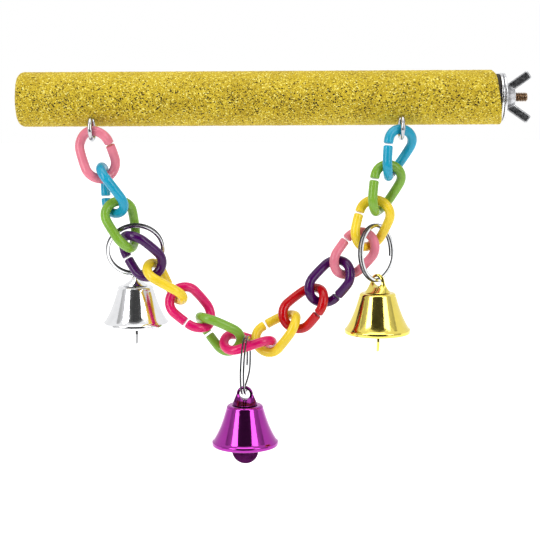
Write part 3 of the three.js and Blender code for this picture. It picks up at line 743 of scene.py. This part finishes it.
def wing_nut(finish):
    """Cast hub and wings, melted together with small fillets."""
    nut_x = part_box("wing_nut")[0].x
    top = nut_x + NUT_HEIGHT
    hub = [(NUT_BORE, nut_x), (NUT_BASE_RADIUS, nut_x), (NUT_BASE_RADIUS, nut_x + NUT_FOOT)]
    hub += [(NUT_TOP_RADIUS, top - NUT_CHAMFER), (NUT_TOP_RADIUS - NUT_CHAMFER, top), (NUT_BORE, top)]
    shapes = [skin(lathe(hub, NUT_SIDES, ALONG_X), closed=True), wing(nut_x, 1), wing(nut_x, -1)]
    nut = new_object("wing_nut_cast", merge(*shapes))
    melt = nut.modifiers.new("melt", "REMESH")
    melt.mode = "VOXEL"
    melt.voxel_size = NUT_VOXEL
    soften = nut.modifiers.new("soften", "SMOOTH")
    soften.factor = 0.5
    soften.iterations = NUT_SMOOTHING_STEPS
    cast = evaluated_mesh(nut)
    nut.modifiers.clear()
    nut.data = cast
    cast.shade_smooth()
    dress(nut, finish, "wing_nut", "wing_nut")


# Screw eyes

def screw_eye(name, turn, finish):
    """Wire with a shank up into the bar, a neck and a loop that closes beside the neck."""
    low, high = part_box(name)
    coat_low, coat_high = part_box("sand_coat")
    bar = (coat_high.z - coat_low.z) / 2
    loop_centre = bar + EYE_STAND_OFF + EYE_WIRE / 2 + EYE_LOOP_RADIUS

    def on_loop(angle):
        return Vector((0, EYE_LOOP_RADIUS * math.sin(angle), EYE_LOOP_RADIUS * math.cos(angle) - loop_centre))

    neck = Vector((0, 0, -bar - EYE_STAND_OFF))
    first = neck - Z * EYE_NECK_PULL
    start = on_loop(EYE_LOOP_START)
    heading = Vector((0, math.cos(EYE_LOOP_START), -math.sin(EYE_LOOP_START)))
    second = start - heading * EYE_NECK_PULL
    points = [Z * (EYE_SHANK_DEPTH * (1 - i / SHANK_STEPS) - bar) for i in range(SHANK_STEPS + 1)]
    for i in range(NECK_STEPS + 1):
        share = i / NECK_STEPS
        rest = 1 - share
        points.append(neck * rest ** 3 + first * 3 * share * rest ** 2
                      + second * 3 * share ** 2 * rest + start * share ** 3)
    for i in range(1, LOOP_STEPS + 1):
        points.append(on_loop(EYE_LOOP_START + (EYE_LOOP_END - EYE_LOOP_START) * i / LOOP_STEPS))
    lean = Matrix.Rotation(-EYE_LEAN, 4, "X")
    place = Matrix.Translation(X * (low.x + high.x) / 2) @ lean @ Matrix.Rotation(turn, 4, "Z")
    path = [place @ point for point in points]
    sideways = [place.to_3x3() @ X] * len(path)
    scales = [1] * (len(path) - len(EYE_TIP_SCALES)) + EYE_TIP_SCALES
    eye = new_object(name + "_wire", sweep(path, sideways, circle(EYE_ROUND / 2, EYE_SIDES), scales))
    dress(eye, finish, "perch", name)


# The chain

def link_outline(run):
    """The flat outline of a link's wire and its outward direction, from the middle of its upper bar."""
    half = STRAIGHT / 2
    bend = math.pi * END_RADIUS
    run = run % ROUND
    if run < half:
        return (run, END_RADIUS), (0, 1)
    if run < half + bend:
        angle = (run - half) / END_RADIUS
        out = (math.sin(angle), math.cos(angle))
        return (half + END_RADIUS * out[0], END_RADIUS * out[1]), out
    if run < 3 * half + bend:
        return (2 * half + bend - run, -END_RADIUS), (0, -1)
    if run < 3 * half + 2 * bend:
        angle = (run - 3 * half - bend) / END_RADIUS
        out = (-math.sin(angle), -math.cos(angle))
        return (-half + END_RADIUS * out[0], END_RADIUS * out[1]), out
    return (run - ROUND, END_RADIUS), (0, 1)


def rounded_run():
    """Distances along a link's wire, denser at both ends, and the section's scale there for rounded ends."""
    length = ROUND - LINK_SLIT
    ends = [share * LINK_EDGE for share in LINK_EDGE_SHARES]
    middle = [LINK_EDGE + (length - 2 * LINK_EDGE) * i / LINK_STEPS for i in range(LINK_STEPS + 1)]
    runs = ends + middle + [length - run for run in reversed(ends)]
    scales = []
    for run in runs:
        depth = min(run, length - run, LINK_EDGE)
        inset = LINK_EDGE - math.sqrt(max(LINK_EDGE ** 2 - (LINK_EDGE - depth) ** 2, 0))
        scales.append(1 - inset / (LINK_ROUND / 2))
    return runs, scales


def seamed_circle():
    """A link's round section with the fine ridges of a mould seam on its inner and outer side."""
    section = []
    for k in range(LINK_SIDES):
        angle = 2 * math.pi * k / LINK_SIDES
        radius = LINK_ROUND / 2
        if k in (0, LINK_SIDES // 2):
            radius += SEAM_HEIGHT
        section.append((radius * math.cos(angle), radius * math.sin(angle)))
    return section


def link_place(number, roll):
    """A link's own frame: along its length, across its flat side and out of it."""
    if number == BOTTOM_LINK:
        low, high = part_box(f"link_{number:02d}")
        middle = Vector((joints["chain_swing"]["pos_m"][0], (low.y + high.y) / 2, (low.z + high.z) / 2))
        along = X
    else:
        joint = joints[f"link_{number:02d}_roll"]
        middle = Vector(joint["pos_m"])
        along = Vector(joint["axis"])
    up = Vector((-along.z, 0, along.x))
    rolled_up = up * math.cos(roll) - Y * math.sin(roll)
    rolled_out = -up * math.sin(roll) - Y * math.cos(roll)
    turned = Matrix((along, rolled_up, rolled_out)).transposed().to_4x4()
    return Matrix.Translation(middle) @ turned


def chain_link(number, roll, slit_bar, slit_end, finish):
    """A closed curve of wire, twisted from end to end and cut by a slit."""
    shift = slit_end * SLIT_FROM_MIDDLE
    slit = shift if slit_bar > 0 else ROUND / 2 - shift
    runs, scales = rounded_run()
    place = link_place(number, roll)
    turned = place.to_3x3()
    path = []
    outward = []
    for run in runs:
        (x, y), (out_x, out_y) = link_outline(slit + LINK_SLIT / 2 + run)
        twist = -LINK_TWIST * x / HALF_LENGTH
        path.append(place @ Vector((x, y * math.cos(twist), y * math.sin(twist))))
        outward.append(turned @ Vector((out_x, out_y * math.cos(twist), out_y * math.sin(twist))))
    node = f"link_{number:02d}"
    link = new_object(node + "_moulded", sweep(path, outward, seamed_circle(), scales), sharp=70)
    dress(link, finish, "chain" if number == BOTTOM_LINK else node, node)


# Split rings

def flat_wire_section():
    """A flat wire with round edges: (side, up) pairs with side along the ring's radius."""
    radius = RING_THICK / 2
    half = RING_WIDE / 2 - radius
    section = []
    for k in range(RING_POINTS):
        angle = 2 * math.pi * (k + 0.5) / RING_POINTS
        shift = math.copysign(half, math.cos(angle))
        if k in (RING_POINTS // 4, RING_POINTS * 3 // 4):
            section.append((0, math.copysign(radius, math.sin(angle))))
        section.append((shift + radius * math.cos(angle), radius * math.sin(angle)))
    return section


def mark_edges(ring, section):
    """Keeps with each point how far it is from the wire's edge, from 0 there to 1 in the middle."""
    steps = len(ring.data.vertices) // len(section)
    # These values place the painted shade along the ring wire's edges.
    values = [1 - abs(side) / (RING_WIDE / 2) for side, _ in section] * steps
    ring.data.attributes.new("from_edge", "FLOAT", "POINT").data.foreach_set("value", values)


def split_ring(side, finish):
    """Two turns of flat wire side by side, with a joggle from one to the other."""
    axis = Vector(joints[f"{side}_ring_swing"]["axis"])
    across = axis.cross(Z).normalized()
    up = across.cross(axis)
    centre = Vector(joints[f"{side}_bell_swing"]["pos_m"]) + up * RING_RADIUS
    path = []
    outward = []
    for i in range(RING_STEPS + 1):
        angle = RING_JOGGLE + (4 * math.pi - 2 * RING_JOGGLE) * i / RING_STEPS
        share = share_of(angle, 2 * math.pi - RING_JOGGLE, 2 * math.pi + RING_JOGGLE)
        rise = share * share * (3 - 2 * share)
        radial = across * math.cos(angle + RING_START) + up * math.sin(angle + RING_START)
        path.append(centre + radial * RING_RADIUS - axis * (rise - 0.5) * RING_STEP)
        outward.append(radial)
    scales = RING_TIP_SCALES + [1] * (len(path) - 2 * len(RING_TIP_SCALES)) + RING_TIP_SCALES[::-1]
    section = flat_wire_section()
    ring = new_object(f"{side}_split_ring_wire", sweep(path, outward, section, scales))
    mark_edges(ring, section)
    dress(ring, finish, f"{side}_ring", f"{side}_split_ring")


# Bells

def bell_outline(wall):
    """Half of the shell from the top down, shrunk by a wall: shoulder, flare and lip."""
    shoulder = SHOULDER_RADIUS - wall
    rim = RIM_RADIUS - wall
    crest = BELL_CREST - wall
    flare = rim - BELL_LIP_STEP - shoulder
    flare_top = SHELL_TOP_Z - BELL_CREST
    flare_end = RIM_Z + BELL_LIP
    pairs = arc((shoulder - crest, flare_top), crest, math.pi / 2, 0, BELL_CREST_STEPS)
    for i in range(1, BELL_FLARE_STEPS + 1):
        share = i / BELL_FLARE_STEPS
        swell = BELL_STRAIGHT_SHARE * share + (1 - BELL_STRAIGHT_SHARE) * share ** 3
        pairs.append((shoulder + flare * swell, flare_top + (flare_end - flare_top) * share))
    return pairs + [(rim - inward, RIM_Z + over) for inward, over in LIP_OUTSIDE]


def bell_shell(side, place, finish):
    """A spun shell with a hole in its top for the stem of the crown."""
    hole = STEM_RADIUS + STEM_GAP
    outside = [(hole, SHELL_TOP_Z)] + bell_outline(0)
    inside = [(hole, SHELL_TOP_Z - BELL_WALL)] + bell_outline(BELL_WALL)
    under = [(RIM_RADIUS - inward, RIM_Z + over) for inward, over in LIP_UNDERSIDE]
    shape = skin(lathe(outside + under + inside[::-1], BELL_SIDES, place), closed=True)
    shell = new_object(f"{side}_bell_shell_spun", shape, sharp=45)
    dress(shell, finish, f"{side}_bell", f"{side}_bell_shell")


def flat_ring(thick, wide, height):
    """A ring round Z that is thick along X and wide along Y."""
    return [Vector((thick * a, wide * b, height)) for a, b in circle(1, CROWN_SIDES)]


def crown_cap():
    """A cone from a round foot to a flat eyelet, with its rounded top."""
    tip_wide = EYELET_HOLE + EYELET_RIM
    tip_thick = EYELET_THICKNESS / 2
    rings = []
    for i in range(CROWN_STEPS + 1):
        share = i / CROWN_STEPS
        wide = CROWN_FOOT + (tip_wide - CROWN_FOOT) * share
        thick = CROWN_FOOT + (tip_thick - CROWN_FOOT) * math.sin(share * math.pi / 2)
        rings.append(flat_ring(thick, wide, CROWN_BASE_Z + (HOLE_Z - CROWN_BASE_Z) * share))
    for i in range(1, EYELET_STEPS):
        angle = math.pi / 2 * i / EYELET_STEPS
        wide = tip_wide * math.cos(angle)
        rings.append(flat_ring(min(tip_thick, wide), wide, HOLE_Z + tip_wide * math.sin(angle)))
    return skin(rings)


def punched_cap():
    """The crown's cap with its eyelet punched through along X and eased edges."""
    blank = new_object("crown_blank", crown_cap())
    bore = lathe([(EYELET_HOLE, -2 * CROWN_FOOT), (EYELET_HOLE, 2 * CROWN_FOOT)], EYELET_SIDES, ALONG_X)
    cutter = new_object("eyelet_cutter", skin([[point + Z * HOLE_Z for point in ring] for ring in bore]))
    punch = blank.modifiers.new("punch", "BOOLEAN")
    punch.object = cutter
    punch.solver = "EXACT"
    ease = blank.modifiers.new("ease", "BEVEL")
    ease.width = CROWN_EASE
    ease.segments = 2
    ease.limit_method = "ANGLE"
    ease.angle_limit = math.radians(50)
    mesh = evaluated_mesh(blank)
    bpy.data.objects.remove(cutter)
    bpy.data.objects.remove(blank)
    return [vertex.co.copy() for vertex in mesh.vertices], [tuple(face.vertices) for face in mesh.polygons]


def hook_loop(turn):
    """A ring of round wire inside the bell that carries the clapper."""
    rings = []
    for a, b in circle(1, HOOK_STEPS):
        radial = X * a + Z * b
        ring = []
        for out, over in circle(HOOK_WIRE / 2, HOOK_SIDES):
            ring.append(turn @ (Z * HOOK_Z + radial * (HOOK_RADIUS + out) + Y * over))
        rings.append(ring)
    return skin(rings, closed=True)


def bell_crown(side, place, hook_turn, finish):
    """A pinched cap with a stem through the shell and a hook under it."""
    stem_low = HOOK_Z + HOOK_RADIUS - STEM_IN_HOOK
    stem_high = CROWN_BASE_Z + STEM_IN_CROWN
    stem = skin(lathe([(STEM_RADIUS, stem_low), (STEM_RADIUS, stem_high)], STEM_SIDES, Matrix.Identity(3)))
    points, faces = merge(punched_cap(), stem, hook_loop(hook_turn))
    crown = new_object(f"{side}_bell_crown_pinched", ([place @ point for point in points], faces), sharp=40)
    dress(crown, finish, f"{side}_bell", f"{side}_bell_crown")


def clapper(side, place, finish):
    """A flat plate with a hole in its neck, straight sides and a round foot, with eased edges."""
    outline = bpy.data.curves.new(f"{side}_clapper_outline", "CURVE")
    outline.dimensions = "2D"
    outline.fill_mode = "BOTH"
    outline.extrude = CLAPPER_THICKNESS / 2 - CLAPPER_EDGE
    outline.bevel_depth = CLAPPER_EDGE
    outline.bevel_resolution = 2
    outline.offset = -CLAPPER_EDGE
    neck = arc((0, CLAPPER_HOLE_Z), CLAPPER_NECK, 0, math.pi, NECK_ARC_STEPS)
    foot = arc((0, CLAPPER_FOOT_Z), CLAPPER_FOOT, math.pi, 2 * math.pi, FOOT_ARC_STEPS)
    hole = arc((0, CLAPPER_HOLE_Z), CLAPPER_HOLE, 0, 2 * math.pi, HOLE_ARC_STEPS)[:-1]
    for loop in (neck + foot, hole):
        spline = outline.splines.new("POLY")
        spline.points.add(len(loop) - 1)
        for point, (a, b) in zip(spline.points, loop):
            point.co = (a, b, 0, 1)
        spline.use_cyclic_u = True
    drawn = bpy.data.objects.new(f"{side}_clapper_outline", outline)
    bpy.context.scene.collection.objects.link(drawn)
    mesh = evaluated_mesh(drawn)
    bpy.data.objects.remove(drawn)
    mesh.transform(place @ ALONG_X.to_4x4())
    plate = place_mesh(f"{side}_clapper_plate", mesh, sharp=40)
    dress(plate, finish, f"{side}_clapper", f"{side}_clapper")


def hinge_place(name):
    """A frame at a level hinge, with X along its axis."""
    axis = Vector(joints[name]["axis"])
    turned = Matrix.Rotation(math.atan2(axis.y, axis.x), 4, "Z")
    return Matrix.Translation(joints[name]["pos_m"]) @ turned


def hang_bell(side, ring_finish):
    """A split ring with its bell and the bell's clapper."""
    slot, colour, crown_shade_share, clapper_shade_share = BELLS[side]
    split_ring(side, ring_finish)
    place = hinge_place(f"{side}_bell_swing")
    clapper_place = hinge_place(f"{side}_clapper_swing")
    hook_turn = place.to_3x3().inverted() @ clapper_place.to_3x3()
    bell_shell(side, place, bell_metal(slot, colour))
    # The crown and the clapper take darker copies of the bell metal as painted shade and painted dark
    # reflection.
    bell_crown(side, place, hook_turn, bell_metal(f"{slot}_crown", shade(colour, crown_shade_share)))
    clapper(side, clapper_place, bell_metal(f"{slot}_clapper", shade(colour, clapper_shade_share)))


# Studio

def stage_card(name, corners, colour, glow=0):
    """A flat card that is not part of the object."""
    card = new_object(name, (corners, [tuple(range(len(corners)))]))
    paint = (*colour, 1)
    finish = Finish(name, Roughness=0.9, Base_Color=paint, Emission_Color=paint, Emission_Strength=glow)
    card.data.materials.append(finish.material)
    return card


def upright_card(name, start, end, top, colour):
    """A card that stands on the floor between two (x, y) points, out of the camera's sight."""
    corners = ((start, FLOOR_Z), (end, FLOOR_Z), (end, top), (start, top))
    card = stage_card(name, [Vector((*place, z)) for place, z in corners], colour)
    card.visible_camera = False
    card.visible_shadow = False
    return card


def side_card(name, x):
    """An upright card beside the camera that falls off from bright near it to grey."""
    card = upright_card(name, (x, FRONT_Y), (x, SIDE_END_Y), SIDE_TOP, grey(1))
    finish = Finish(name, Roughness=0.9)
    away = finish.between(finish.along("Y"), 0, 1, start=FRONT_Y, end=SIDE_END_Y)
    finish.feed("Base Color", finish.ramp(away, (0, grey(1)), (1, grey(0.35))))
    card.data.materials[0] = finish.material


def soft_box(name, place, width, height, power):
    """A large light that faces the object."""
    data = bpy.data.lights.new(name, "AREA")
    data.shape = "RECTANGLE"
    data.size = width
    data.size_y = height
    data.energy = power
    light = bpy.data.objects.new(name, data)
    light.location = place
    light.rotation_euler = (TARGET - Vector(place)).to_track_quat("-Z", "Y").to_euler()
    bpy.context.scene.collection.objects.link(light)


def white_world():
    world = bpy.data.worlds.new("studio")
    bpy.context.scene.world = world
    world.use_nodes = True
    background = world.node_tree.nodes["Background"]
    background.inputs["Color"].default_value = (1, 1, 1, 1)
    background.inputs["Strength"].default_value = 1


def photo_camera():
    data = bpy.data.cameras.new("camera")
    data.sensor_width = SENSOR
    data.lens = SENSOR * DISTANCE / ACROSS
    camera = bpy.data.objects.new("camera", data)
    bpy.context.scene.collection.objects.link(camera)
    sight = Vector((0, -math.cos(ELEVATION), math.sin(ELEVATION)))
    camera.location = TARGET + sight * DISTANCE
    camera.rotation_mode = "QUATERNION"
    level = (-sight).to_track_quat("-Z", "Y")
    camera.rotation_quaternion = level @ Matrix.Rotation(CAMERA_ROLL, 3, "Z").to_quaternion()
    bpy.context.scene.camera = camera


# Build the bar and its clamp end

sand_coat(sand_grit())
core = frame["nodes"]["dowel_core"]
core.data.materials.clear()
core.data.materials.append(wood())

# Each metal's deep colour is painted shade in hollows and thread grooves, and its edge colour is a painted
# highlight on edges and thread crests.
bolt_steel = edged_metal(
    "bolt_steel",
    hollow_shade=(0.03, 0.018, 0.01),
    flat=(0.2, 0.115, 0.065),
    edge=(0.62, 0.45, 0.3),
    smooth=0.25,
    rough=0.45,
)
zinc_steel = edged_metal(
    "zinc_steel",
    hollow_shade=(0.03, 0.03, 0.03),
    flat=(0.5, 0.51, 0.53),
    edge=(0.9, 0.9, 0.92),
    smooth=0.15,
    rough=0.35,
)
cast_nut = edged_metal(
    "cast_nut",
    hollow_shade=(0.04, 0.04, 0.042),
    flat=(0.17, 0.172, 0.18),
    edge=(0.85, 0.86, 0.88),
    smooth=0.22,
    rough=0.45,
    hub=(0.7, 0.7, 0.72),
)
hanger_bolt(bolt_steel)
washer("inner_washer", "perch", zinc_steel)
washer("outer_washer", "outer_washer", zinc_steel)
wing_nut(cast_nut)

# Build what hangs on it

eye_wire = plated_wire("eye_wire", (0.48, 0.485, 0.5))
screw_eye("left_screw_eye", -EYE_TURN, eye_wire)
screw_eye("right_screw_eye", EYE_TURN, eye_wire)

plastics = {}
for link_number, ((slot_name, link_colour), link_roll, bar, end) in enumerate(LINKS, start=1):
    if slot_name not in plastics:
        plastics[slot_name] = plastic(slot_name, link_colour)
    chain_link(link_number, math.radians(link_roll), bar, end, plastics[slot_name])

ring_steel = polished_ring("ring_steel")
for bell_side in BELLS:
    hang_bell(bell_side, ring_steel)

# Build the studio

floor = [Vector((a * FLOOR_REACH, b * FLOOR_REACH, FLOOR_Z)) for a, b in FLOOR_CORNERS]
stage_card("floor", floor, grey(0.9), FLOOR_GLOW)
upright_card("dark_front", (LEFT_X, FRONT_Y), (RIGHT_X, FRONT_Y), FRONT_TOP, grey(0.02))
side_card("left_side", LEFT_X)
side_card("right_side", RIGHT_X)
soft_box("left_box", (-0.85, -0.75, 0.35), width=0.4, height=0.9, power=7)
soft_box("right_box", (0.6, -0.75, 0.3), width=0.4, height=0.9, power=5)
soft_box("top_box", (-0.1, -0.1, 0.9), width=0.7, height=0.7, power=3)
white_world()
photo_camera()
bpy.context.scene.view_settings.view_transform = "Standard"
